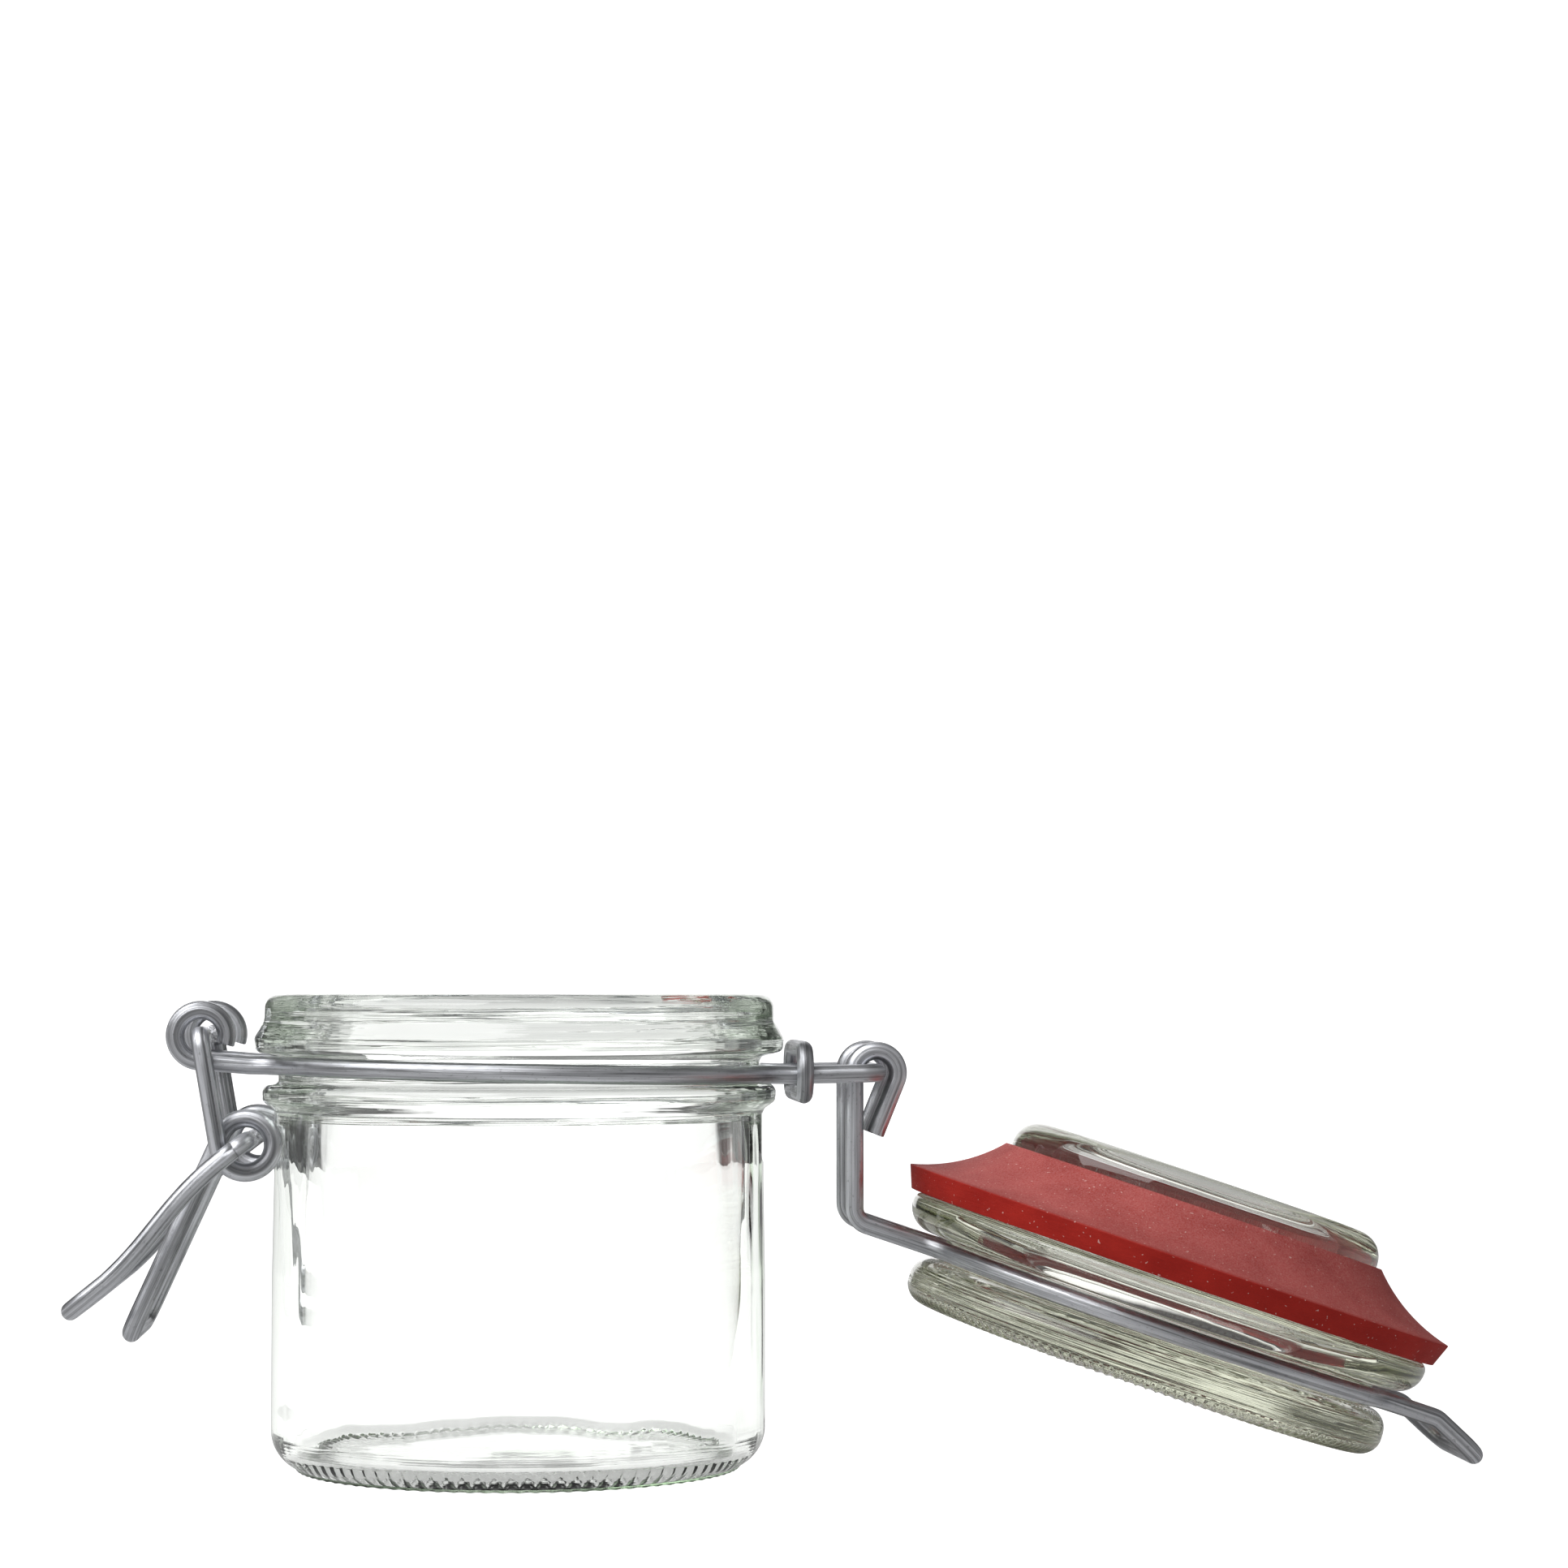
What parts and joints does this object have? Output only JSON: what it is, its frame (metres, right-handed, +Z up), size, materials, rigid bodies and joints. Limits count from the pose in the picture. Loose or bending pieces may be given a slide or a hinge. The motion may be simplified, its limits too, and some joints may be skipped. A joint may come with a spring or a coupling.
{
  "type": "bail clamp jar",
  "caption": "Small round glass preserving jar with a hinged glass lid, a rubber sealing ring and a wire lever-and-bail closure, shown open.",
  "frame": {"origin": "on the surface the jar stands on, under the middle of the open assembly's bounding box", "axes": "+X from the jar towards the opened lid, the hinge and lever axes run along Y, +Z up along the jar's axis"},
  "size_m": [0.1772, 0.0718, 0.0593],
  "materials": {
    "jar_glass": "clear, faint green in thick sections",
    "lid_glass": "clear, faint green in thick sections",
    "seal_rubber": "matte red",
    "neck_wire_steel": "drawn, satin",
    "tie_ring_steel": "drawn, satin",
    "lid_wire_steel": "drawn, satin",
    "lever_steel": "drawn, satin",
    "bail_steel": "drawn, satin"
  },
  "bodies": {
    "jar": {"glass_jar": "jar_glass", "neck_wire": "neck_wire_steel", "tie_ring": "tie_ring_steel"},
    "lid": {"glass_lid": "lid_glass", "sealing_ring": "seal_rubber", "lid_wire": "lid_wire_steel"},
    "lever": {"closing_lever": "lever_steel"},
    "bail": {"bail": "bail_steel"}
  },
  "joints": [
    {"name": "lid_hinge", "type": "hinge", "parent": "jar", "child": "lid", "pos_m": [0.01179, 0, 0.04945], "axis": [0, -1, 0], "range_deg": [0, 198.7], "deforming": ["sealing_ring"]},
    {"name": "lever_pivot", "type": "hinge", "parent": "jar", "child": "lever", "pos_m": [-0.07211, 0, 0.0542], "axis": [0, 1, 0], "range_deg": [0, 160]},
    {"name": "bail_pivot", "type": "hinge", "parent": "lever", "child": "bail", "pos_m": [-0.06641, 0, 0.04125], "axis": [0, 1, 0], "range_deg": [0, 131.2]}
  ]
}
